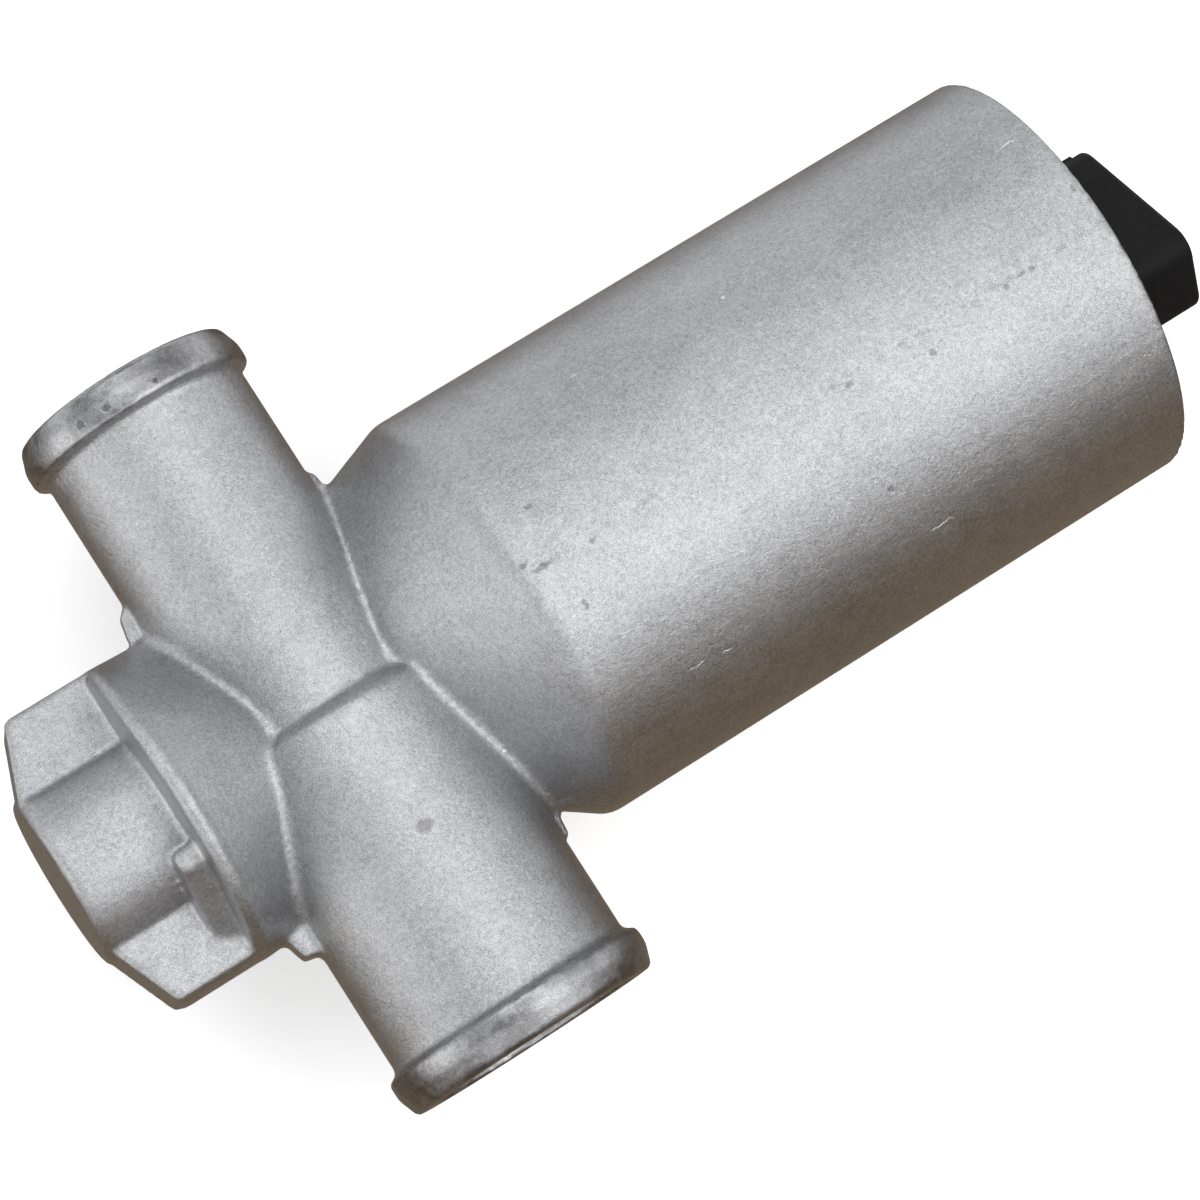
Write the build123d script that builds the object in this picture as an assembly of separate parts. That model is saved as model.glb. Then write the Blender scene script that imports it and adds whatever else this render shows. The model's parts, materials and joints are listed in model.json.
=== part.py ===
from build123d import *
import math
import os

# Idle air control valve: a cast housing with a motor barrel, two hose stubs and a rotary slide.
# The motor axis is X, with the plug at +X. The two hose stubs share one axis along Y.
# The origin lies on the motor axis, in the middle of the barrel where the rubber ring holds it.

# Motor barrel and the cast body
BARREL_R = 25.0
BARREL_HALF = 38.5
SHOULDER_X = -37.8
WALL = 3.0
LIP_R = 19.8
LIP_T = 1.2
WAIST_HALF_H = 10.4
REAR_WAIST_HALF_W = 19.4
FRONT_WAIST_HALF_W = 18.3
WAIST_TIP_R = 1.0

# Hose stubs
STUB_X = -58.9
STUB_A_R = 12.42
STUB_B_R = 14.57
STUB_A_BORE_R = 10.2
STUB_B_BORE_R = 12.2
STUB_A_END = 43.1
STUB_B_END = 41.4
BEAD_H = 1.3
BEAD_LEN = 4.9
BEAD_LAND = 2.0
BEAD_LEAD_H = 0.85
BEAD_STEP_LEN = 0.45
STEP_HALF = 0.9
CREASE_R = 1.0
TIGHT_CREASE_R = 0.4
TIGHT_CREASE_START = 3.0
SHOULDER_R = 4.0
STUB_FLOOR = 10.3
PORT_HALF_X = 6.0
PORT_HALF_Z = 5.0

# Front end: round drum, nose boss, two wings and a lug
DRUM_R = 18.35
FLANGE_X = -80.0
DRUM_EDGE_R = 1.2
NOSE_R = 10.5
NOSE_X = -93.4
NOSE_EDGE_R = 1.3
WING_HALF_T = 4.9
WING_TIP_X = -89.4
WING_FLAT_HALF_W = 8.2
WING_INSET = 0.08
WING_TIP_R = 2.0
WING_EDGE_R = 0.6
WEB_ROOT = 2.0
LUG_T = 2.9
LUG_TOP = 13.0
LUG_NEAR_Y = -4.6
LUG_TOP_W = 2.2
LUG_FOOT_Y = -15.2
LUG_DRAFT = 1.6

# Chamber and bearings
CHAMBER_R = 8.3
CHAMBER_END_X = -71.0
BULKHEAD_T = 2.3
SHAFT_R = 2.5
SHAFT_FRONT_X = -87.6
RUN_GAP = 0.03
BUSH_R = 5.0
BUSH_LEN = 9.0
BUSH_BACK_X = -88.2
SEAL_LEN = 3.2
SEAL_GAP = 0.05
CIRCLIP_T = 0.9

# Slide that opens the ports
SLIDE_GAP = 0.2
SLIDE_BLADE_T = 1.5
SLIDE_HUB_R = 4.6
SLIDE_LEN = 14.0
SLIDE_WEB_T = 1.6
SLIDE_SPAN = 92.0
SLIDE_REST = 180.0
SLIDE_PIN_R = 0.9
SLIDE_PIN_INSET = 2.0
TRAVEL = 60.0

# Motor
YOKE_T = 1.6
BORE_GAP = 0.1
MAGNET_T = 4.6
MAGNET_SPAN = 112.0
MAGNET_OVER = 2.0
AIR_GAP = 0.5
CORE_WEB = 9.0
CORE_HEAD_SPAN = 96.0
CORE_HEAD_T = 4.4
FORMER_T = 0.7
COIL_T = 4.4
COIL_OVER = 4.6
COIL_GAP = 0.5
YOKE_LEAD = 1.0

# Slip rings, brushes and the plug end
BRIDGE_T = 2.4
BRIDGE_HUB_R = 8.0
BRIDGE_HUB_LEN = 4.0
HUB_LEAD = 1.0
END_GAP = 0.4
SHAFT_END = 0.6
RING_R = 6.4
RING_W = 3.0
RING_PITCH = 4.6
CARRIER_R = 5.4
CARRIER_WALL = 0.7
BRUSH_PLATE_T = 2.2
BRUSH_W = 2.8
BRUSH_LEN = 4.6
ARM_T = 0.5
ARM_W = 3.4
CAP_FLANGE_T = 7.6
CAP_GAP = 0.1
CAP_SKIRT = 2.8
SEAL_R = 0.95
TERMINAL_W = 2.8
TERMINAL_T = 0.8
TERMINAL_PITCH = 5.6

# Plug socket, turned about the motor axis as it stands in the casting
SOCKET_TURN = -36.3
SOCKET_L = 21.8
SOCKET_W = 11.8
SOCKET_SHIFT = -0.55
SOCKET_CORNER_R = 2.9
SOCKET_WALL = 1.5
SOCKET_EDGE_R = 0.7
SOCKET_X = 50.6
SOCKET_DEPTH = 10.0
BLADE_REACH = 5.5
LATCH_H = 2.3
LATCH_W = 4.4
LATCH_BACK = 0.2

# Stops and return spring
STOP_R = 11.0
STOP_PIN_R = 1.4
LEVER_HALF_W = 1.8
LEVER_T = 1.6
LEVER_GAP = 0.04
SPRING_W = 1.8
SPRING_T = 0.4
SPRING_IN_R = 4.9
SPRING_OUT_R = 9.6
SPRING_TURNS = 3
COLLAR_R = 4.5
PEG_DEPTH = 1.8
SPRING_SEAT = 1.2
SPRING_GAP = 0.6
LEVER_REST = 90.0
SPRING_POST_ANGLE = 250.0

# Places that follow from the sizes above
CHAMBER_MOUTH_X = SHOULDER_X + BULKHEAD_T
LEVER_CLEAR = math.degrees(math.asin((STOP_PIN_R + LEVER_HALF_W + LEVER_GAP) / STOP_R))
STOP_ANGLES = (LEVER_REST - LEVER_CLEAR, LEVER_REST + TRAVEL + LEVER_CLEAR)
SPRING_POST_R = SPRING_OUT_R + STOP_PIN_R + SPRING_T / 2
SPRING_X = CHAMBER_MOUTH_X + SPRING_SEAT
LEVER_X = SPRING_X + SPRING_W + SPRING_GAP
CORE_X = LEVER_X + LEVER_T + COIL_GAP + COIL_OVER + FORMER_T
CAP_X = BARREL_HALF - LIP_T - CAP_FLANGE_T
BRUSH_PLATE_X = CAP_X - CAP_SKIRT - BRUSH_PLATE_T
SHAFT_REAR_X = BRUSH_PLATE_X - END_GAP
CARRIER_X = SHAFT_REAR_X - SHAFT_END - 2 * CARRIER_WALL - RING_W - RING_PITCH
BRIDGE_X = CARRIER_X - END_GAP - BRIDGE_HUB_LEN
CORE_LEN = BRIDGE_X - HUB_LEAD - COIL_GAP - COIL_OVER - FORMER_T - CORE_X
MAGNET_LEN = CORE_LEN + 2 * MAGNET_OVER
MAGNET_X = CORE_X - MAGNET_OVER
STACK_FRONT_X = MAGNET_X - YOKE_LEAD
BORE_R = BARREL_R - WALL
YOKE_R = BORE_R - BORE_GAP
MAGNET_R = YOKE_R - YOKE_T
CORE_R = MAGNET_R - MAGNET_T - AIR_GAP


def section(x):
    """Plane square to the motor axis at x, drawn as Y across and Z up."""
    return Plane.YZ.offset(x)


def disc(radius, x0, x1, hole=0.0):
    """Round plate or tube along the motor axis between x0 and x1."""
    face = Circle(radius)
    if hole > 0:
        face -= Circle(hole)
    return extrude(section(x0) * face, amount=x1 - x0)


def box_between(x0, x1, y0, y1, z0, z1):
    """Block given by its two corners."""
    block = Box(x1 - x0, y1 - y0, z1 - z0)
    return Pos((x0 + x1) / 2, (y0 + y1) / 2, (z0 + z1) / 2) * block


def polar(radius, degrees):
    """Point at an angle from +Y towards +Z."""
    angle = math.radians(degrees)
    return (radius * math.cos(angle), radius * math.sin(angle))


def sector(inner, outer, start, end):
    """Part of a ring between two angles."""
    middle = (start + end) / 2
    outer_arc = ThreePointArc(polar(outer, start), polar(outer, middle), polar(outer, end))
    inner_arc = ThreePointArc(polar(inner, end), polar(inner, middle), polar(inner, start))
    sides = [Line(outer_arc @ 1, inner_arc @ 0), Line(inner_arc @ 1, outer_arc @ 0)]
    return make_face([outer_arc, sides[0], inner_arc, sides[1]])


def arc_bar(inner, outer, start, end, x0, x1):
    """Ring segment along the motor axis."""
    return extrude(section(x0) * sector(inner, outer, start, end), amount=x1 - x0)


def rounded_profile(corners):
    """Closed outline of (x, y, radius) corners, each rounded by its radius."""
    points = [(x, y) for x, y, radius in corners]
    face = make_face(Polyline(*points, close=True))
    for x, y, radius in corners:
        if radius > 0:
            corner = face.vertices().sort_by_distance((x, y, 0))[0]
            face = fillet(corner, radius)
    return face


def waist_outline(half_width, half_height, tip_radius):
    """Oval with pointed sides: a middle circle and two small tip circles joined by tangents."""
    reach = half_width - tip_radius
    lean = math.asin((half_height - tip_radius) / reach)
    high = (half_height * math.sin(lean), half_height * math.cos(lean))
    side = (reach + tip_radius * math.sin(lean), tip_radius * math.cos(lean))
    return outline_of(side, (half_width, 0), high, (0, half_height), straight=True)


def round_outline(radius, tip_angle, top_angle):
    """Circle cut into the same eight stretches as the waist outline."""
    side = polar(radius, tip_angle)
    high = polar(radius, top_angle)
    between = polar(radius, (tip_angle + top_angle) / 2)
    return outline_of(side, (radius, 0), high, (0, radius), between=between)


def outline_of(side, tip, high, top, straight=False, between=None):
    """Face with eight edges from one quarter's points, mirrored across and down."""
    def mirrored(point, across, down):
        return (point[0] * across, point[1] * down)

    def flank(across, down, outward):
        start = mirrored(side, across, down)
        end = mirrored(high, across, down)
        if outward:
            start, end = end, start
        if straight:
            return Line(start, end)
        return ThreePointArc(start, mirrored(between, across, down), end)

    edges = [
        ThreePointArc(mirrored(side, 1, -1), tip, side),
        flank(1, 1, False),
        ThreePointArc(high, top, mirrored(high, -1, 1)),
        flank(-1, 1, True),
        ThreePointArc(mirrored(side, -1, 1), mirrored(tip, -1, 1), mirrored(side, -1, -1)),
        flank(-1, -1, False),
        ThreePointArc(mirrored(high, -1, -1), mirrored(top, 1, -1), mirrored(high, 1, -1)),
        flank(1, -1, True),
    ]
    return make_face(edges)


def waist_plane(direction):
    """Plane where the body's flanks meet the two stubs, at the waist's height."""
    near_a = math.sqrt(STUB_A_R ** 2 - WAIST_HALF_H ** 2)
    near_b = math.sqrt(STUB_B_R ** 2 - WAIST_HALF_H ** 2)
    x = STUB_X + direction * (near_a + near_b) / 2
    spread = STUB_A_R * 0.75
    lean = direction * (near_a - near_b) / (2 * spread)
    return Plane(origin=(x, 0, 0), x_dir=(lean, 1, 0), z_dir=(1, -lean, 0))


def stub_profile(radius, end, side):
    """Half section of a hose stub with its bead, from the body's axis out to the mouth."""
    foot = end - BEAD_LEN
    crest = radius + BEAD_H
    corners = [
        (STUB_X, 0, 0),
        (STUB_X + radius, 0, 0),
        (STUB_X + radius, side * foot, 0.25),
        (STUB_X + crest, side * (foot + BEAD_STEP_LEN), 0.45),
        (STUB_X + crest, side * (foot + BEAD_STEP_LEN + BEAD_LAND), 0.6),
        (STUB_X + crest - BEAD_LEAD_H, side * end, 0.3),
        (STUB_X, side * end, 0),
    ]
    if radius > STUB_A_R:
        corners[0:2] = [
            (STUB_X, -side * STEP_HALF, 0),
            (STUB_X + STUB_A_R - 0.3, -side * STEP_HALF, 0),
            (STUB_X + radius, side * STEP_HALF, 1.3),
        ]
    return rounded_profile(corners)


def stub_axis():
    """Common axis of the two hose stubs."""
    return Axis((STUB_X, 0, 0), (0, 1, 0))


def stub_bore(radius, end, side):
    """Round passage of one stub, from its mouth to the floor beside the chamber."""
    along = Plane(origin=(STUB_X, side * STUB_FLOOR, 0), x_dir=(1, 0, 0), z_dir=(0, side, 0))
    return extrude(along * Circle(radius), amount=end - STUB_FLOOR + 1)


def body_flanks():
    """Cast body between barrel and drum, narrowing to a low waist that the stubs cross."""
    stations = [
        section(SHOULDER_X) * round_outline(BARREL_R, 8, 55),
        waist_plane(1) * waist_outline(REAR_WAIST_HALF_W, WAIST_HALF_H, WAIST_TIP_R),
        waist_plane(-1) * waist_outline(FRONT_WAIST_HALF_W, WAIST_HALF_H, WAIST_TIP_R),
        section(FLANGE_X + DRUM_EDGE_R) * round_outline(DRUM_R, 8, 55),
    ]
    return loft(stations, ruled=True)


def drum_edge():
    """Front face of the drum with its rounded edge."""
    plate = disc(DRUM_R, FLANGE_X, FLANGE_X + DRUM_EDGE_R + 0.4)
    edge = plate.edges().filter_by(GeomType.CIRCLE).sort_by(Axis.X)[0]
    return fillet(edge, DRUM_EDGE_R)


def nose():
    """Round boss that holds the front bush."""
    boss = disc(NOSE_R, NOSE_X, FLANGE_X + 1)
    edge = boss.edges().filter_by(GeomType.CIRCLE).sort_by(Axis.X)[0]
    return fillet(edge, NOSE_EDGE_R)


def wings():
    """Flat bar through the nose whose ends are swept back and flush with the drum."""
    tip_y = DRUM_R - WING_INSET
    outline = rounded_profile([
        (FLANGE_X + 1, tip_y, 0),
        (WING_TIP_X, tip_y, WING_TIP_R),
        (NOSE_X, WING_FLAT_HALF_W, WING_TIP_R),
        (NOSE_X, -WING_FLAT_HALF_W, WING_TIP_R),
        (WING_TIP_X, -tip_y, WING_TIP_R),
        (FLANGE_X + 1, -tip_y, 0),
    ])
    bar = extrude(outline, amount=WING_HALF_T, both=True)
    bar &= disc(tip_y, NOSE_X - 1, FLANGE_X + 2)
    tops = bar.edges().filter_by(lambda edge: abs(abs(edge.center().Z) - WING_HALF_T) < 0.01)
    outer = tops.filter_by(lambda edge: edge.center().X < FLANGE_X - 1)
    return fillet(outer, WING_EDGE_R)


def lug_outline(x, foot_y):
    """Section of the lug at x: a short top, and a slope down to the wing at foot_y."""
    return section(x) * make_face(Polyline(
        (LUG_NEAR_Y, WING_HALF_T - 1),
        (LUG_NEAR_Y, LUG_TOP),
        (LUG_NEAR_Y - LUG_TOP_W, LUG_TOP),
        (foot_y, WING_HALF_T - 1),
        close=True))


def lug():
    """Locating lug on the drum's face, beside the nose on the stub B side."""
    block = loft([lug_outline(FLANGE_X + 0.5, LUG_FOOT_Y - LUG_DRAFT), lug_outline(FLANGE_X - LUG_T, LUG_FOOT_Y)])
    upper = block.edges().filter_by(lambda edge: edge.center().Z > WING_HALF_T)
    rounded = upper.filter_by(lambda edge: edge.center().X < FLANGE_X + 0.4)
    return fillet(rounded, 0.9)


def corner_web(points, half_thickness):
    """Small trimmed web on the parting line, in a corner between stub and body."""
    return extrude(make_face(Polyline(*points, close=True)), amount=half_thickness, both=True)


def webs():
    """Four trimmed webs left where the stubs meet the drum and the barrel's shoulder."""
    front_a = STUB_X - STUB_A_R
    front_b = STUB_X - STUB_B_R
    rear_a = STUB_X + STUB_A_R
    rear_b = STUB_X + STUB_B_R
    edge = DRUM_R
    root = edge - WEB_ROOT
    return [
        corner_web([(rear_a - 1, root), (rear_a + 1.3, root), (rear_a + 0.9, edge + 5.8), (rear_a - 1, edge + 7.2)], 0.7),
        corner_web([(front_a + 1, root), (front_a - 1.6, root), (front_a - 1.6, edge + 1.2),
                    (front_a - 1.2, edge + 3.1), (front_a - 0.4, edge + 3.9), (front_a + 1, edge + 4.2)], 1.0),
        corner_web([(front_b + 1, -root), (front_b - 2.3, -root), (front_b - 2.4, -edge - 0.6),
                    (front_b - 1.9, -edge - 2.4), (front_b - 1.1, -edge - 2.6), (front_b + 1, -edge - 2.9)], 2.2),
        corner_web([(rear_b - 1, -root), (rear_b + 1.5, -root), (rear_b + 0.9, -edge - 6.0),
                    (rear_b - 1, -edge - 6.9)], 0.9),
    ]


def creases(body, radius, side, direction):
    """Edges where one stub meets the body's flank, ahead of the stub or behind it."""
    def on_stub(point):
        return abs(math.hypot(point.X - STUB_X, point.Z) - radius) < 0.02

    def in_crease(edge):
        middle = edge @ 0.5
        ahead = direction * (middle.X - STUB_X) > 0 and side * middle.Y > STEP_HALF
        return ahead and edge.geom_type != GeomType.LINE and all(on_stub(edge @ t) for t in (0.1, 0.5, 0.9))

    return body.edges().filter_by(in_crease)


def housing():
    """One casting: barrel, shoulder, stubs, drum, nose and wings, with all its bores."""
    body = disc(BARREL_R, SHOULDER_X, BARREL_HALF)
    body += body_flanks()
    corner = body.edges().filter_by(lambda edge: abs(edge.center().X - SHOULDER_X) + edge.bounding_box().size.X < 0.01)
    body = fillet(corner, SHOULDER_R)
    body += drum_edge()
    for radius, end, side in ((STUB_A_R, STUB_A_END, 1), (STUB_B_R, STUB_B_END, -1)):
        body += revolve(stub_profile(radius, end, side), axis=stub_axis())
    rear_web_a, *other_webs = webs()
    body += rear_web_a
    for radius, side, direction in ((STUB_A_R, 1, -1), (STUB_B_R, -1, 1), (STUB_B_R, -1, -1)):
        body = fillet(creases(body, radius, side, direction), CREASE_R)
    tight = creases(body, STUB_A_R, 1, 1).filter_by(lambda edge: TIGHT_CREASE_START < edge.center().Y < DRUM_R)
    body = fillet(tight, TIGHT_CREASE_R)
    body += nose()
    body += wings()
    body += lug()
    for web in other_webs:
        body += web
    body -= disc(BORE_R, CHAMBER_MOUTH_X, BARREL_HALF - LIP_T)
    body -= disc(LIP_R, BARREL_HALF - LIP_T - 1, BARREL_HALF + 1)
    body -= disc(CHAMBER_R, CHAMBER_END_X, CHAMBER_MOUTH_X + 1)
    body -= disc(BUSH_R, BUSH_BACK_X, CHAMBER_END_X + 1)
    body -= disc(SHAFT_R + 1, BUSH_BACK_X - 1.2, BUSH_BACK_X + 1)
    for radius, end, side in ((STUB_A_BORE_R, STUB_A_END, 1), (STUB_B_BORE_R, STUB_B_END, -1)):
        body -= stub_bore(radius, end, side)
    body -= box_between(STUB_X - PORT_HALF_X, STUB_X + PORT_HALF_X, -STUB_FLOOR - 1, STUB_FLOOR + 1,
                        -PORT_HALF_Z, PORT_HALF_Z)
    for angle in STOP_ANGLES:
        body -= peg(STOP_R, angle, STOP_PIN_R, CHAMBER_MOUTH_X - PEG_DEPTH, CHAMBER_MOUTH_X + 1)
    body -= peg(SPRING_POST_R, SPRING_POST_ANGLE, STOP_PIN_R, CHAMBER_MOUTH_X - PEG_DEPTH, CHAMBER_MOUTH_X + 1)
    return body


def peg(radius, angle, peg_radius, x0, x1):
    """Pin along the motor axis at a place on a circle about it."""
    y, z = polar(radius, angle)
    return extrude(section(x0) * (Pos(y, z) * Circle(peg_radius)), amount=x1 - x0)


def stop_pin(angle):
    """Hardened pin that ends the lever's travel."""
    return peg(STOP_R, angle, STOP_PIN_R, CHAMBER_MOUTH_X - PEG_DEPTH, LEVER_X + LEVER_T)


def spring_post():
    """Pin that holds the return spring's outer end."""
    return peg(SPRING_POST_R, SPRING_POST_ANGLE, STOP_PIN_R, CHAMBER_MOUTH_X - PEG_DEPTH, SPRING_X + SPRING_W)


def return_spring():
    """Flat spiral spring from the shaft's collar out to its post."""
    turns = SPRING_TURNS * 360.0
    steps = SPRING_TURNS * 16
    pitch = (SPRING_OUT_R - SPRING_IN_R) / turns
    start = SPRING_POST_ANGLE - turns

    def edge_curve(offset):
        points = []
        for step in range(steps + 1):
            turned = turns * step / steps
            points.append(polar(SPRING_IN_R + pitch * turned + offset, start + turned))
        return Spline(*points)

    inner = edge_curve(-SPRING_T / 2)
    outer = edge_curve(SPRING_T / 2)
    strip = make_face([inner, Line(inner @ 1, outer @ 1), outer, Line(outer @ 0, inner @ 0)])
    return extrude(section(SPRING_X) * strip, amount=SPRING_W)


def spring_collar():
    """Collar pressed on the shaft, which the spring's inner end grips."""
    return disc(COLLAR_R, SPRING_X, LEVER_X, SHAFT_R)


def stop_lever():
    """Arm on the shaft that swings between the two stop pins."""
    arm = Rectangle(2 * LEVER_HALF_W, STOP_R + STOP_PIN_R, align=(Align.CENTER, Align.MIN))
    tip = Pos(0, STOP_R + STOP_PIN_R) * Circle(LEVER_HALF_W)
    blank = Rot(0, 0, LEVER_REST - 90) * (Circle(COLLAR_R + 0.8) + arm + tip) - Circle(SHAFT_R)
    return extrude(section(LEVER_X) * blank, amount=LEVER_T)


def rotor_shaft():
    """Ground shaft through chamber, motor and slip rings, cross drilled for the slide's pin."""
    shaft = disc(SHAFT_R, SHAFT_FRONT_X, SHAFT_REAR_X)
    ends = shaft.edges().filter_by(GeomType.CIRCLE)
    shaft = chamfer(ends, 0.3)
    return shaft - slide_pin()


def slide_pin():
    """Cross pin that locks the slide to the shaft."""
    cylinder = Cylinder(SLIDE_PIN_R, 2 * SLIDE_HUB_R)
    return Pos(STUB_X + SLIDE_LEN / 2 - SLIDE_WEB_T - SLIDE_PIN_INSET, 0, 0) * cylinder


def rotary_slide():
    """Part-cylinder blade on two end webs and a hub, which covers and opens the ports."""
    x0 = STUB_X - SLIDE_LEN / 2
    x1 = STUB_X + SLIDE_LEN / 2
    outer = CHAMBER_R - SLIDE_GAP
    inner = outer - SLIDE_BLADE_T
    start = SLIDE_REST - SLIDE_SPAN / 2
    end = SLIDE_REST + SLIDE_SPAN / 2
    slide = arc_bar(inner, outer, start, end, x0, x1)
    slide += disc(SLIDE_HUB_R, x0, x1)
    for web_x in (x0, x1 - SLIDE_WEB_T):
        slide += arc_bar(1.0, inner + 0.2, start, end, web_x, web_x + SLIDE_WEB_T)
    slide -= disc(SHAFT_R, x0 - 1, x1 + 1)
    return slide - slide_pin()


def bush(x0, x1, outer):
    """Sintered bush with running clearance on the shaft."""
    ring = disc(outer, x0, x1, SHAFT_R + RUN_GAP)
    return chamfer(ring.edges().filter_by(GeomType.CIRCLE).group_by(Axis.X)[-1], 0.3)


def shaft_seal(outer, x0):
    """Rubber lip seal: a ring with a hollow on one side and a lip just off the shaft."""
    x1 = x0 + SEAL_LEN
    lip = SHAFT_R + SEAL_GAP
    heel = (outer + SHAFT_R) / 2
    profile = make_face(Polyline(
        (x0, lip + 0.6), (x0, outer), (x1, outer), (x1, heel + 0.5), (x0 + 1, heel + 0.5),
        (x0 + 1, heel - 0.1), (x1 - 0.6, lip), (x1 - 1.4, lip), close=True))
    return revolve(profile, axis=Axis.X)


def bush_circlip():
    """Split ring that keeps the front seal in its bore."""
    x0 = BUSH_BACK_X + BUSH_LEN + SEAL_LEN
    return arc_bar(BUSH_R - 1.3, BUSH_R, 25, 335, x0, x0 + CIRCLIP_T)


def wave_washer():
    """Spring ring between the casting and the yoke, which takes up the stack's play."""
    return disc(YOKE_R - 0.2, CHAMBER_MOUTH_X, CHAMBER_MOUTH_X + 0.8, YOKE_R - YOKE_T)


def spacer_sleeve():
    """Plastic sleeve that sets the yoke's place above the stops."""
    return disc(YOKE_R, CHAMBER_MOUTH_X + 0.8, STACK_FRONT_X, YOKE_R - 2.2)


def yoke_tube():
    """Steel flux tube that carries the magnets."""
    return disc(YOKE_R, STACK_FRONT_X, BRIDGE_X, MAGNET_R)


def magnet(centre):
    """Ferrite shell magnet on one side of the armature."""
    half = MAGNET_SPAN / 2
    return arc_bar(MAGNET_R - MAGNET_T, MAGNET_R, centre - half, centre + half, MAGNET_X, MAGNET_X + MAGNET_LEN)


def magnet_clip(centre):
    """Bent spring steel clip that wedges between the two magnets."""
    half = (180 - MAGNET_SPAN) / 2
    strip = sector(MAGNET_R - 0.8, MAGNET_R, centre - half, centre + half)
    for side in (-1, 1):
        edge = centre + side * half
        strip += sector(MAGNET_R - MAGNET_T + 0.5, MAGNET_R, edge - 1.6 - side * 1.6, edge + 1.6 - side * 1.6)
    return extrude(section(MAGNET_X) * strip, amount=MAGNET_LEN)


def armature_core():
    """Double-T lamination stack on the shaft."""
    half = CORE_HEAD_SPAN / 2
    stack = Rectangle(CORE_WEB, 2 * (CORE_R - CORE_HEAD_T) + 2)
    for centre in (90, 270):
        stack += sector(CORE_R - CORE_HEAD_T, CORE_R, centre - half, centre + half)
    stack -= Circle(SHAFT_R)
    return extrude(section(CORE_X) * stack, amount=CORE_LEN)


def coil_height():
    """Half height of the space between the core's heads, where the coil lies."""
    return (CORE_R - CORE_HEAD_T) * math.cos(math.radians(CORE_HEAD_SPAN / 2)) - 0.1


def around_web(x_over, half_y, half_z):
    """Block about the core's web, longer than the core at both ends."""
    return box_between(CORE_X - x_over, CORE_X + CORE_LEN + x_over, -half_y, half_y, -half_z, half_z)


def coil_former():
    """Insulating former between the core's web and the coil."""
    high = coil_height()
    form = around_web(FORMER_T, CORE_WEB / 2 + FORMER_T, high)
    form -= around_web(0, CORE_WEB / 2, high + 1)
    return form - disc(SHAFT_R + 0.6, CORE_X - 10, CORE_X + CORE_LEN + 10)


def winding():
    """Coil wound round the web, split at the ends where it passes the shaft."""
    high = coil_height() - 0.3
    half_y = CORE_WEB / 2 + FORMER_T + COIL_T
    coil = around_web(FORMER_T + COIL_OVER, half_y, high)
    upright = coil.edges().filter_by(Axis.Z)
    coil = fillet(upright, 3.0)
    coil -= around_web(FORMER_T, CORE_WEB / 2 + FORMER_T, high + 1)
    return coil - disc(SHAFT_R + 1.0, CORE_X - 10, CORE_X + CORE_LEN + 10)


def bearing_bridge():
    """Plate with a hub for the rear bush and three windows, seated on the yoke's end."""
    plate = disc(YOKE_R, BRIDGE_X, BRIDGE_X + BRIDGE_T)
    plate += disc(BRIDGE_HUB_R, BRIDGE_X - HUB_LEAD, BRIDGE_X + BRIDGE_HUB_LEN)
    plate -= disc(BUSH_R, BRIDGE_X - 2, BRIDGE_X + BRIDGE_HUB_LEN + 2)
    for centre in (30, 150, 270):
        window = arc_bar(BRIDGE_HUB_R + 3, YOKE_R - 4, centre - 38, centre + 38, BRIDGE_X - 1, BRIDGE_X + BRIDGE_T + 1)
        plate -= window
    return plate


def rear_bush():
    """Bush in the bridge's hub."""
    return bush(BRIDGE_X - HUB_LEAD, BRIDGE_X + BRIDGE_HUB_LEN, BUSH_R)


def front_bush():
    """Bush at the bottom of the nose."""
    return bush(BUSH_BACK_X, BUSH_BACK_X + BUSH_LEN, BUSH_R)


def ring_x(index):
    """Start of a slip ring on its carrier."""
    return CARRIER_X + CARRIER_WALL + index * RING_PITCH


def slip_ring_carrier():
    """Moulded sleeve on the shaft with flanges that part the two slip rings."""
    end = ring_x(1) + RING_W + CARRIER_WALL
    sleeve = disc(CARRIER_R, CARRIER_X, end, SHAFT_R)
    walls = ((CARRIER_X, ring_x(0)), (ring_x(0) + RING_W, ring_x(1)), (ring_x(1) + RING_W, end))
    for x0, x1 in walls:
        sleeve += disc(RING_R + 0.5, x0, x1, SHAFT_R)
    return sleeve


def slip_ring(index):
    """Copper ring that one brush rides on."""
    return disc(RING_R, ring_x(index), ring_x(index) + RING_W, CARRIER_R)


def brush_side(index):
    """The two brushes stand on opposite sides of the shaft."""
    return 1 if index == 0 else -1


def brush(index):
    """Carbon block whose foot stands just off its slip ring."""
    side = brush_side(index)
    middle = ring_x(index) + RING_W / 2
    low = RING_R + LEVER_GAP
    high = low + BRUSH_LEN
    near, far = sorted((side * low, side * high))
    block = box_between(middle - BRUSH_W / 2, middle + BRUSH_W / 2, near - 2, far + 2, -BRUSH_W / 2, BRUSH_W / 2)
    ring_cut = disc(low, middle - RING_W, middle + RING_W)
    keep = box_between(middle - RING_W, middle + RING_W, min(0, side * high), max(0, side * high), -5, 5)
    return (block & keep) - ring_cut


def brush_arm(index):
    """Leaf spring from the brush plate that presses its brush on the ring."""
    side = brush_side(index)
    middle = ring_x(index) + RING_W / 2
    seat = RING_R + LEVER_GAP + BRUSH_LEN
    near, far = sorted((side * seat, side * (seat + ARM_T)))
    return box_between(middle - BRUSH_W / 2, BRUSH_PLATE_X, near, far, -ARM_W / 2, ARM_W / 2)


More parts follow.
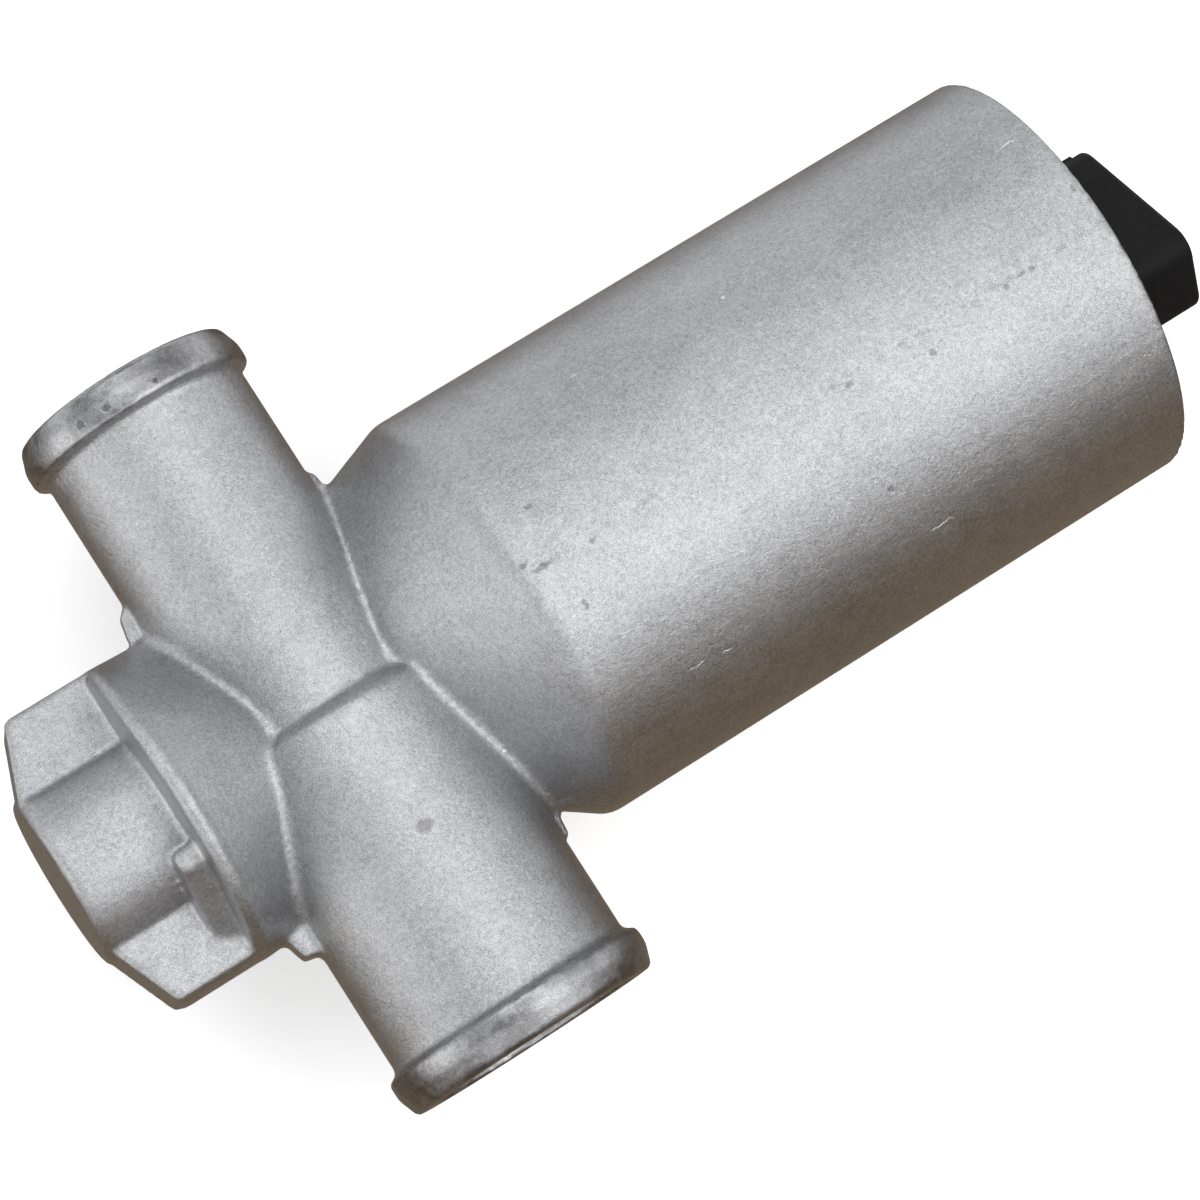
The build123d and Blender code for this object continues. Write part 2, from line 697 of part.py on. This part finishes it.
def brush_plate():
    """Moulded plate with a skirt, which carries the two brush arms."""
    plate = disc(YOKE_R, BRUSH_PLATE_X, BRUSH_PLATE_X + BRUSH_PLATE_T)
    plate += disc(YOKE_R, BRIDGE_X + BRIDGE_T, BRUSH_PLATE_X, YOKE_R - 2.0)
    for side in (-1, 1):
        seat = RING_R + LEVER_GAP + BRUSH_LEN + ARM_T
        near, far = sorted((side * seat, side * (seat + 2.0)))
        plate += box_between(BRUSH_PLATE_X - 5, BRUSH_PLATE_X, near, far, -ARM_W / 2, ARM_W / 2)
    for index in (0, 1):
        plate -= terminal_slot(index)
    return plate


def terminal_offset(index):
    """Distance of a terminal from the motor axis along the socket's long side."""
    return (index - 0.5) * TERMINAL_PITCH


def terminal_outline(index, grow):
    """Flat terminal's section, turned with the socket."""
    blade = Rectangle(TERMINAL_T + 2 * grow, TERMINAL_W + 2 * grow)
    return Rot(0, 0, SOCKET_TURN) * (Pos(terminal_offset(index), 0) * blade)


def terminal_slot(index):
    """Slot in the brush plate that a terminal's tail plugs into."""
    outline = terminal_outline(index, 0.0)
    return extrude(section(BRUSH_PLATE_X + 0.6) * outline, amount=BRUSH_PLATE_T + 1)


def terminal(index):
    """Flat blade from the brush plate through the cap into the socket."""
    outline = terminal_outline(index, 0.0)
    end = SOCKET_X - SOCKET_DEPTH + BLADE_REACH
    start = BRUSH_PLATE_X + 0.6
    blade = extrude(section(start) * outline, amount=end - start)
    return chamfer(blade.faces().sort_by(Axis.X)[-1].edges(), 0.25)


def socket_outline(inset):
    """Socket's rounded oblong, turned about the motor axis."""
    width = SOCKET_L - 2 * inset
    height = SOCKET_W - 2 * inset
    outline = Pos(SOCKET_SHIFT, 0) * RectangleRounded(width, height, SOCKET_CORNER_R - inset)
    return Rot(0, 0, SOCKET_TURN) * outline


def cap_groove_x():
    """Middle of the seal groove in the cap's flange."""
    return CAP_X + CAP_FLANGE_T * 0.55


def connector_cap():
    """Moulded cap with its flange, sealing groove, skirt and plug socket."""
    flange_end = BARREL_HALF - LIP_T
    cap = disc(BORE_R - CAP_GAP, CAP_X, flange_end)
    cap += disc(BORE_R - CAP_GAP, BRUSH_PLATE_X + BRUSH_PLATE_T, CAP_X, YOKE_R - 2.4)
    socket = extrude(section(flange_end) * socket_outline(0), amount=SOCKET_X - flange_end)
    cap += fillet(socket.faces().sort_by(Axis.X)[-1].edges(), SOCKET_EDGE_R)
    latch = Pos(SOCKET_L / 2 + SOCKET_SHIFT, 0) * Rectangle(2 * LATCH_H, LATCH_W)
    latch = Rot(0, 0, SOCKET_TURN) * latch
    cap += extrude(section(flange_end) * latch, amount=SOCKET_X - LATCH_BACK - flange_end)
    cap += disc(LIP_R - CAP_GAP, flange_end, flange_end + LIP_T)
    cap -= extrude(section(SOCKET_X - SOCKET_DEPTH) * socket_outline(SOCKET_WALL), amount=SOCKET_DEPTH + 1)
    groove = 2 * SEAL_R
    cap -= disc(BORE_R + 1, cap_groove_x() - groove / 2, cap_groove_x() + groove / 2, BORE_R - groove)
    for index in (0, 1):
        cap -= extrude(section(CAP_X - 1) * terminal_outline(index, 0.0), amount=SOCKET_X - CAP_X)
    return cap


def cap_seal():
    """Round-section rubber ring in the cap's groove."""
    centre = Plane(origin=(cap_groove_x(), BORE_R - SEAL_R, 0), x_dir=(1, 0, 0), z_dir=(0, 0, 1))
    return revolve(centre * Circle(SEAL_R - 0.02), axis=Axis.X)


def build():
    """Every piece by its name."""
    return {
        "housing": housing(),
        "front_bush": front_bush(),
        "front_shaft_seal": shaft_seal(BUSH_R, BUSH_BACK_X + BUSH_LEN),
        "bush_circlip": bush_circlip(),
        "rotary_slide": rotary_slide(),
        "slide_pin": slide_pin(),
        "rotor_shaft": rotor_shaft(),
        "stop_pin_closed": stop_pin(STOP_ANGLES[0]),
        "stop_pin_open": stop_pin(STOP_ANGLES[1]),
        "spring_post": spring_post(),
        "return_spring": return_spring(),
        "spring_collar": spring_collar(),
        "stop_lever": stop_lever(),
        "wave_washer": wave_washer(),
        "spacer_sleeve": spacer_sleeve(),
        "yoke_tube": yoke_tube(),
        "magnet_left": magnet(0),
        "magnet_right": magnet(180),
        "magnet_clip_top": magnet_clip(90),
        "magnet_clip_bottom": magnet_clip(270),
        "armature_core": armature_core(),
        "coil_former": coil_former(),
        "winding": winding(),
        "bearing_bridge": bearing_bridge(),
        "rear_bush": rear_bush(),
        "slip_ring_carrier": slip_ring_carrier(),
        "slip_ring_inner": slip_ring(0),
        "slip_ring_outer": slip_ring(1),
        "brush_plate": brush_plate(),
        "brush_inner": brush(0),
        "brush_outer": brush(1),
        "brush_arm_inner": brush_arm(0),
        "brush_arm_outer": brush_arm(1),
        "terminal_1": terminal(0),
        "terminal_2": terminal(1),
        "connector_cap": connector_cap(),
        "cap_seal": cap_seal(),
    }


os.makedirs("parts", exist_ok=True)
for name, solid in build().items():
    export_step(solid, f"parts/{name}.step")
    print(name, round(solid.volume, 1))
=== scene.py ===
"""Dresses the idle air control valve: a blasted light alloy casting with a black moulded plug socket."""
import json

import bpy
import numpy as np
from mathutils import Matrix, Vector


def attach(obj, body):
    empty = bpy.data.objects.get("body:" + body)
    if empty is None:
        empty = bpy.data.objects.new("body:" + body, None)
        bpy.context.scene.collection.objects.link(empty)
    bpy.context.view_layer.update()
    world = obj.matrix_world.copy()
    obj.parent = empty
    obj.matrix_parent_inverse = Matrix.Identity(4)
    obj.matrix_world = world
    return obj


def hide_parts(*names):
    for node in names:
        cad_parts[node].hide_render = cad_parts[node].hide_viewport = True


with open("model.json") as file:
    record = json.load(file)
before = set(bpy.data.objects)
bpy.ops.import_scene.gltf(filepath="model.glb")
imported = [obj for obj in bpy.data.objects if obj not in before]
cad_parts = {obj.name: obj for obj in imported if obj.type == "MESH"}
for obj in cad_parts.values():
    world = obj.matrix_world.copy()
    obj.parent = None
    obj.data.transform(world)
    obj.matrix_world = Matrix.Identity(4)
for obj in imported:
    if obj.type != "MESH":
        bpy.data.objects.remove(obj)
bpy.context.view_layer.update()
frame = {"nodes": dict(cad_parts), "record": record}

# The camera that the photograph was taken with, in metres, and its focal length in the photograph's pixels
CAMERA_PLACE = Vector((-0.13615, -0.05357, 0.49446))
CAMERA_FORWARD = Vector((0.21592, 0.09684, -0.9716))
CAMERA_RIGHT = Vector((0.83082, -0.54097, 0.13072))
FOCAL_PX = 4600.0
PHOTO_PX = 1200.0
SENSOR_MM = 36.0
CAMERA_CLIP = (0.01, 10.0)

# The floor lies just under the barrel, and is paper that glows a little
FLOOR_Z = -0.0256
FLOOR_HALF = 6.0
PAPER = (0.9, 0.9, 0.9, 1.0)
PAPER_ROUGH = 0.9
PAPER_GLOW = 0.45
WHITE = (1.0, 1.0, 1.0, 1.0)

# The room's light is one ramp along a leaned direction, dark below the stub B side and bright overhead.
# Each stop is a place along the ramp and a colour. The camera itself sees the plain backdrop.
ROOM_LEAN = (0.0, 0.45, 0.75)
ROOM_STOPS = ((0.20, (0.19, 0.145, 0.10)), (0.34, (0.11, 0.085, 0.065)), (0.45, (0.13, 0.115, 0.105)),
              (0.51, (0.30, 0.29, 0.29)), (0.56, (1.45, 1.46, 1.48)), (0.63, (1.40, 1.41, 1.43)),
              (0.70, (0.60, 0.61, 0.62)), (0.76, (0.22, 0.22, 0.22)), (0.83, (0.16, 0.155, 0.15)),
              (0.88, (0.45, 0.46, 0.48)), (0.93, (2.10, 2.11, 2.14)))
ROOM_STRENGTH = 1.25
BACKDROP = (0.76, 0.76, 0.76)
# Area lights: name, place and aim in metres, width and height, watts, tint
LIGHTS = (
    ("ceiling", (0.12, -0.14, 0.48), (0.02, 0.0, 0.0), (0.24, 0.20), 0.72, (1.0, 0.99, 0.98)),
    ("window", (-0.50, 0.03, 0.05), (-0.03, 0.0, 0.0), (0.42, 0.14), 0.32, (1.0, 0.98, 0.96)),
)

# The casting's surface: voxel size, smoothing passes, most triangles, and each pass's step out and back
CAST_VOXEL = 0.00045
CAST_PASSES = 4
CAST_TRIANGLES = 190000
RELAX = 0.5
RELAX_BACK = -0.52
WELD_M = 0.000002

# The casting's skin: size of each noise as waves for a metre, colours, roughness and height of its relief
SPARKLE_WAVES = 7500.0
GRAIN_WAVES = 1900.0
WARP_WAVES = 1500.0
MOTTLE_WAVES = 420.0
PIT_WAVES = 300.0
WEAR_WAVES = 210.0
PIT_AREA_WAVES = 140.0
CLOUD_WAVES = 45.0
SKIN_LOW = (0.28, 0.283, 0.287)
SKIN_HIGH = (0.655, 0.665, 0.685)
SKIN_DARK = (0.13, 0.12, 0.115)
SKIN_BARE = (0.86, 0.86, 0.86)
SKIN_ROUGH = 0.31
SKIN_RELIEF_M = 0.00011

# Places on the casting in millimetres: the upper side's foot, the stubs' beads, the end of the stubs' part
# of the casting, and the rubbed line along the barrel's top with the barrel's foot where it starts
UPPER_Z = 2.0
BEAD_A_Y = 38.4
BEAD_B_Y = -36.8
STUBS_END_X = -40.0
RUB_Y = -0.6
RUB_START_X = -38.0

# How far the warp moves the edge of a mark, in metres, and its mean in millimetres
MARK_WARP_M = 6e-4
MARK_SHIFT = 0.3
# Dents, and then bright scratches, on the upper side: x, y, half length along X, half width, in millimetres
DENTS = (
    (28.2, -0.7, 0.35, 0.25), (26.8, -0.7, 0.45, 0.2), (24.8, -1.1, 0.3, 0.3), (37.4, 4.4, 0.25, 0.35),
    (13.8, -2.9, 0.35, 0.4), (4.0, -1.1, 0.5, 0.35), (2.4, -12.8, 0.4, 0.25), (-29.0, -1.0, 0.45, 0.3),
    (-36.8, 0.5, 0.4, 0.3), (-35.2, -0.6, 1.1, 0.35), (-32.6, 5.7, 0.4, 0.25), (-33.2, -6.2, 0.3, 0.6),
    (-57.2, 39.7, 0.3, 0.3), (-63.2, 39.9, 0.5, 0.4), (-66.2, 40.1, 0.45, 0.5), (-58.7, -16.3, 1.0, 0.7),
)
SCRATCHES = (
    (34.9, 12.7, 1.3, 0.08), (-1.2, 14.6, 0.2, 0.2), (-19.6, 15.9, 0.4, 0.1), (-25.9, -13.4, 0.6, 0.09),
    (-21.5, -17.8, 0.6, 0.08), (-25.2, -17.4, 0.9, 0.08), (6.5, -18.4, 1.5, 0.09), (-46.0, -13.5, 0.4, 0.09),
)


class Value:
    """One output of a shader node. Arithmetic on it adds Math nodes."""

    def __init__(self, graph, socket):
        self.graph = graph
        self.socket = socket

    def math(self, operation, first, second=0.0, third=0.0):
        return self.graph.add("ShaderNodeMath", {"operation": operation}, {0: first, 1: second, 2: third})

    def __add__(self, other):
        return self.math("ADD", self, other)

    def __radd__(self, other):
        return self.math("ADD", other, self)

    def __sub__(self, other):
        return self.math("SUBTRACT", self, other)

    def __rsub__(self, other):
        return self.math("SUBTRACT", other, self)

    def __mul__(self, other):
        return self.math("MULTIPLY", self, other)

    def __rmul__(self, other):
        return self.math("MULTIPLY", other, self)

    def clamp(self):
        return self.graph.add("ShaderNodeClamp", {}, {"Value": self})

    def size(self):
        return self.math("ABSOLUTE", self)

    def below(self, limit, soft):
        """1 where the value is under the limit, falling to 0 over the soft width."""
        return ((limit - self) * (1.0 / soft)).clamp()


class Graph:
    """The node tree of a material or world, with one method for adding any node."""

    def __init__(self, owner):
        self.owner = owner
        self.owner.use_nodes = True
        self.tree = self.owner.node_tree

    def add(self, kind, settings, inputs, output=0):
        node = self.tree.nodes.new(kind)
        for key, value in settings.items():
            if key == "stops":
                self.set_stops(node, value)
            else:
                setattr(node, key, value)
        for key, value in inputs.items():
            self.feed(node.inputs[key], value)
        return Value(self, node.outputs[output])

    def set_stops(self, node, stops):
        """Places and colours of a colour ramp."""
        elements = node.color_ramp.elements
        while len(elements) < len(stops):
            elements.new(0.5)
        for element, (position, colour) in zip(elements, stops):
            element.position = position
            element.color = (*colour, 1.0)

    def feed(self, socket, value):
        """Links a value to the socket, or sets a constant on it."""
        if isinstance(value, Value):
            self.tree.links.new(value.socket, socket)
        else:
            socket.default_value = value

    def surface(self, **sockets):
        """The owner, with these inputs on its shader. An underscore stands for a space."""
        shader = self.tree.nodes["Principled BSDF"]
        for name, value in sockets.items():
            self.feed(shader.inputs[name.replace("_", " ")], value)
        return self.owner

    def place(self):
        return self.add("ShaderNodeTexCoord", {}, {}, "Object")

    def split(self, place):
        """X, Y and Z of a place, in millimetres."""
        node = self.tree.nodes.new("ShaderNodeSeparateXYZ")
        self.feed(node.inputs[0], place)
        return [Value(self, node.outputs[axis]) * 1000.0 for axis in range(3)]

    def marks(self, place, warp, rows):
        """1 inside any of the small ovals, each with an uneven edge."""
        inputs = {0: warp, 1: (MARK_WARP_M,) * 3, 2: place}
        shifted = self.add("ShaderNodeVectorMath", {"operation": "MULTIPLY_ADD"}, inputs)
        total = 0.0
        for x, y, half_length, half_width in rows:
            stretch = (1000.0 / half_length, 1000.0 / half_width, 0.0)
            centre = (-(x + MARK_SHIFT) / half_length, -(y + MARK_SHIFT) / half_width, 0.0)
            inputs = {0: shifted, 1: stretch, 2: centre}
            local = self.add("ShaderNodeVectorMath", {"operation": "MULTIPLY_ADD"}, inputs)
            away = self.add("ShaderNodeVectorMath", {"operation": "LENGTH"}, {0: local}, "Value")
            total = away.below(1.25, 0.5) + total
        return total.clamp()

    def noise_colour(self, place, scale):
        return self.add("ShaderNodeTexNoise", {}, {"Vector": place, "Scale": scale, "Detail": 1.0}, "Color")

    def noise(self, place, scale, detail=2.0, roughness=0.5):
        inputs = {"Vector": place, "Scale": scale, "Detail": detail, "Roughness": roughness}
        return self.add("ShaderNodeTexNoise", {}, inputs, "Fac")

    def cells(self, place, scale):
        return self.add("ShaderNodeTexVoronoi", {}, {"Vector": place, "Scale": scale}, "Distance")

    def mix(self, factor, low, high):
        low = (*low, 1.0) if isinstance(low, tuple) else low
        high = (*high, 1.0) if isinstance(high, tuple) else high
        node = self.tree.nodes.new("ShaderNodeMix")
        node.data_type = "RGBA"
        self.feed(node.inputs[0], factor)
        self.feed(node.inputs[6], low)
        self.feed(node.inputs[7], high)
        return Value(self, node.outputs[2])

    def bump(self, height, strength, distance):
        return self.add("ShaderNodeBump", {}, {"Height": height, "Strength": strength, "Distance": distance})


def cast_skin(name):
    """Blasted casting: sparkling grain, soft mottling, dents, scratches and worn stub beads.

    Brightness rises with mottle, cloud, grain and sparkle about its middle. The dark share is the sum of
    the marks' shares, and the relief is the grain and mottle less the depth of each mark.
    """
    g = Graph(bpy.data.materials.new(name))
    place = g.place()
    x, y, z = g.split(place)
    sparkle = g.noise(place, SPARKLE_WAVES, 3.0, 0.7)
    grain = g.noise(place, GRAIN_WAVES, 2.0, 0.5)
    mottle = g.noise(place, MOTTLE_WAVES, 3.0, 0.6)
    cloud = g.noise(place, CLOUD_WAVES, 3.0, 0.55)
    top = ((z - UPPER_Z) * 0.5).clamp()
    warp = g.noise_colour(place, WARP_WAVES)
    dents = g.marks(place, warp, DENTS) * top
    scratches = g.marks(place, warp, SCRATCHES) * top
    off_line = (y - RUB_Y + mottle * 1.2 - 0.6).size()
    along_barrel = ((x - RUB_START_X) * 0.5).clamp()
    rubbed = off_line.below(0.5, 0.45) * mottle.below(0.5, 0.06) * along_barrel * top
    bead = ((y - BEAD_A_Y) * 4.0).clamp() + ((BEAD_B_Y - y) * 4.0).clamp()
    bead = bead * ((STUBS_END_X - x) * 0.5).clamp()
    wear = bead * g.noise(place, WEAR_WAVES, 4.0, 0.7).below(0.52, 0.08)
    pit_area = g.noise(place, PIT_AREA_WAVES, 2.0, 0.5).below(0.34, 0.03)
    pit = g.cells(place, PIT_WAVES).below(0.10, 0.05) * pit_area
    dark = (dents * 0.5 + rubbed * 0.2 + pit * 0.5 + bead * 0.25 + wear * 0.25).clamp()
    bumps = (1.0 - bead * 0.5) * (grain * 0.45 + sparkle * 0.55)
    height = bumps + mottle * 0.12 - dents * 0.3 - pit * 0.5 - scratches * 0.4
    tone = (mottle * 0.4 + cloud * 0.4 + grain * 0.8 + sparkle * 2.9 - 1.75).clamp()
    colour = g.mix(tone, SKIN_LOW, SKIN_HIGH)
    colour = g.mix(dark, colour, SKIN_DARK)
    colour = g.mix(scratches * 0.75, colour, SKIN_BARE)
    rough = SKIN_ROUGH + mottle * 0.08 - wear * 0.06
    relief = g.bump(height, 1.0, SKIN_RELIEF_M)
    return g.surface(Base_Color=colour, Metallic=1.0, Roughness=rough, Normal=relief)


def turned_metal(name, colour, rough):
    """Metal with fine tool marks and a little stain."""
    g = Graph(bpy.data.materials.new(name))
    place = g.place()
    marks = g.noise(place, 2600.0, 2.0, 0.6)
    stain = g.noise(place, 120.0, 3.0, 0.6)
    dark = tuple(0.72 * c for c in colour)
    return g.surface(Base_Color=g.mix(stain, dark, colour), Metallic=1.0, Roughness=rough + stain * 0.12,
                     Normal=g.bump(marks, 0.2, 0.00004))


def moulded_plastic(name, colour, rough, shine=0.5):
    """Moulded plastic: very fine matt texture and faint wear."""
    g = Graph(bpy.data.materials.new(name))
    place = g.place()
    texture = g.noise(place, 3800.0, 2.0, 0.6)
    wear = g.noise(place, 180.0, 4.0, 0.65)
    light = tuple(min(1.0, 1.5 * c + 0.004) for c in colour)
    return g.surface(Base_Color=g.mix(wear, colour, light), Roughness=rough + wear * 0.15,
                     Specular_IOR_Level=shine, Normal=g.bump(texture, 0.25, 0.00005))


MATERIALS = {
    "cast_alloy": cast_skin("cast_alloy"),
    "turned_alloy": turned_metal("turned_alloy", (0.62, 0.63, 0.65), 0.25),
    "sintered_bronze": turned_metal("sintered_bronze", (0.42, 0.27, 0.13), 0.45),
    "seal_rubber": moulded_plastic("seal_rubber", (0.012, 0.012, 0.013), 0.65),
    "spring_steel": turned_metal("spring_steel", (0.33, 0.33, 0.35), 0.3),
    "bright_steel": turned_metal("bright_steel", (0.62, 0.63, 0.64), 0.2),
    "yoke_steel": turned_metal("yoke_steel", (0.45, 0.44, 0.41), 0.38),
    "ferrite": moulded_plastic("ferrite", (0.03, 0.03, 0.033), 0.55),
    "enamelled_copper": turned_metal("enamelled_copper", (0.48, 0.17, 0.06), 0.32),
    "contact_brass": turned_metal("contact_brass", (0.66, 0.50, 0.22), 0.25),
    "brush_carbon": moulded_plastic("brush_carbon", (0.02, 0.02, 0.02), 0.5),
    "inner_plastic": moulded_plastic("inner_plastic", (0.10, 0.07, 0.045), 0.45),
    "black_plastic": moulded_plastic("black_plastic", (0.006, 0.006, 0.0065), 0.4, 0.10),
}
SLOT_OF = {row["node"]: row["material_slot"] for row in frame["record"]["subparts"]}


def paint(piece, slot):
    """One material on the whole piece."""
    piece.data.materials.clear()
    piece.data.materials.append(MATERIALS[slot])


def neighbours_mean(points, edges):
    """Mean place of each point's neighbours along the edges, as one summed scatter."""
    total = np.zeros_like(points)
    count = np.zeros(len(points))
    for a, b in ((edges[:, 0], edges[:, 1]), (edges[:, 1], edges[:, 0])):
        for axis in range(3):
            total[:, axis] += np.bincount(a, points[b, axis], len(points))
        count += np.bincount(a, minlength=len(points))
    return total / np.maximum(count, 1)[:, None]


def relaxed(points, edges, passes):
    """Points moved towards their neighbours and back again, which rounds creases and keeps size."""
    for _ in range(passes):
        for share in (RELAX, RELAX_BACK):
            points = points + share * (neighbours_mean(points, edges) - points)
    return points


def remeshed(source, name, voxel):
    """Copy of a node's mesh with merged corners, rebuilt from even small faces."""
    copy = bpy.data.objects.new(name, source.data.copy())
    bpy.context.scene.collection.objects.link(copy)
    weld = copy.modifiers.new("weld", "WELD")
    weld.merge_threshold = WELD_M
    remesh = copy.modifiers.new("remesh", "REMESH")
    remesh.mode = "VOXEL"
    remesh.voxel_size = voxel
    graph = bpy.context.evaluated_depsgraph_get()
    mesh = bpy.data.meshes.new_from_object(copy.evaluated_get(graph))
    copy.modifiers.clear()
    copy.data = mesh
    return copy


def thin_out(piece, triangles):
    """Fewer faces where the surface is even."""
    thin = piece.modifiers.new("thin", "DECIMATE")
    thin.ratio = min(1.0, triangles / (2.0 * len(piece.data.polygons)))
    graph = bpy.context.evaluated_depsgraph_get()
    mesh = bpy.data.meshes.new_from_object(piece.evaluated_get(graph))
    piece.modifiers.clear()
    piece.data = mesh


def points_of(mesh):
    flat = np.empty(len(mesh.vertices) * 3)
    mesh.vertices.foreach_get("co", flat)
    return flat.reshape(-1, 3)


def edges_of(mesh):
    flat = np.empty(len(mesh.edges) * 2, int)
    mesh.edges.foreach_get("vertices", flat)
    return flat.reshape(-1, 2)


def casting():
    """The housing with the soft creases and corners of a casting."""
    piece = remeshed(frame["nodes"]["housing"], "housing_casting", CAST_VOXEL)
    mesh = piece.data
    points = relaxed(points_of(mesh), edges_of(mesh), CAST_PASSES)
    mesh.vertices.foreach_set("co", points.ravel())
    mesh.polygons.foreach_set("use_smooth", np.ones(len(mesh.polygons), bool))
    mesh.update()
    thin_out(piece, CAST_TRIANGLES)
    paint(piece, "cast_alloy")
    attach(piece, "valve_body")
    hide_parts("housing")


def camera():
    """The camera at the photograph's viewing angle."""
    data = bpy.data.cameras.new("camera")
    data.sensor_width = SENSOR_MM
    data.lens = FOCAL_PX / PHOTO_PX * SENSOR_MM
    data.clip_start, data.clip_end = CAMERA_CLIP
    rig = bpy.data.objects.new("camera", data)
    bpy.context.scene.collection.objects.link(rig)
    back = -CAMERA_FORWARD.normalized()
    right = (CAMERA_RIGHT - CAMERA_RIGHT.dot(back) * back).normalized()
    up = back.cross(right)
    turn = Matrix((right, up, back)).transposed()
    rig.matrix_world = Matrix.Translation(CAMERA_PLACE) @ turn.to_4x4()
    bpy.context.scene.camera = rig


def area_light(name, place, aim, size, watts, tint):
    """A soft box that faces its aim."""
    data = bpy.data.lights.new(name, "AREA")
    data.shape = "RECTANGLE"
    data.size, data.size_y = size
    data.energy = watts
    data.color = tint
    lamp = bpy.data.objects.new(name, data)
    bpy.context.scene.collection.objects.link(lamp)
    lamp.location = place
    lamp.rotation_euler = (Vector(aim) - Vector(place)).to_track_quat("-Z", "Y").to_euler()


def room():
    """World light as a colour ramp along the leaned direction: place = 0.5 (direction . lean) + 0.5."""
    world = bpy.data.worlds.new("room")
    bpy.context.scene.world = world
    g = Graph(world)
    towards = g.add("ShaderNodeTexCoord", {}, {}, "Generated")
    lean = g.add("ShaderNodeVectorMath", {"operation": "DOT_PRODUCT"}, {0: towards, 1: ROOM_LEAN}, "Value")
    along = lean * 0.5 + 0.5
    light = g.add("ShaderNodeValToRGB", {"stops": ROOM_STOPS}, {0: along})
    background = g.tree.nodes["Background"]
    seen = g.add("ShaderNodeLightPath", {}, {}, "Is Camera Ray")
    g.feed(background.inputs["Color"], g.mix(seen, light, BACKDROP))
    g.feed(background.inputs["Strength"], ROOM_STRENGTH)


def studio():
    """White floor, a soft ceiling lamp, a low window and the room's light."""
    mesh = bpy.data.meshes.new("floor")
    corners = [(x, y, FLOOR_Z) for x, y in ((-1, -1), (1, -1), (1, 1), (-1, 1))]
    mesh.from_pydata([(x * FLOOR_HALF, y * FLOOR_HALF, z) for x, y, z in corners], [], [(0, 1, 2, 3)])
    floor = bpy.data.objects.new("floor", mesh)
    bpy.context.scene.collection.objects.link(floor)
    g = Graph(bpy.data.materials.new("floor_paper"))
    g.surface(Base_Color=PAPER, Roughness=PAPER_ROUGH, Emission_Color=WHITE, Emission_Strength=PAPER_GLOW)
    mesh.materials.append(g.owner)
    floor.visible_glossy = False
    for light in LIGHTS:
        area_light(*light)
    room()
    bpy.context.scene.view_settings.view_transform = "Standard"


for node, piece in frame["nodes"].items():
    paint(piece, SLOT_OF[node])
casting()
camera()
studio()
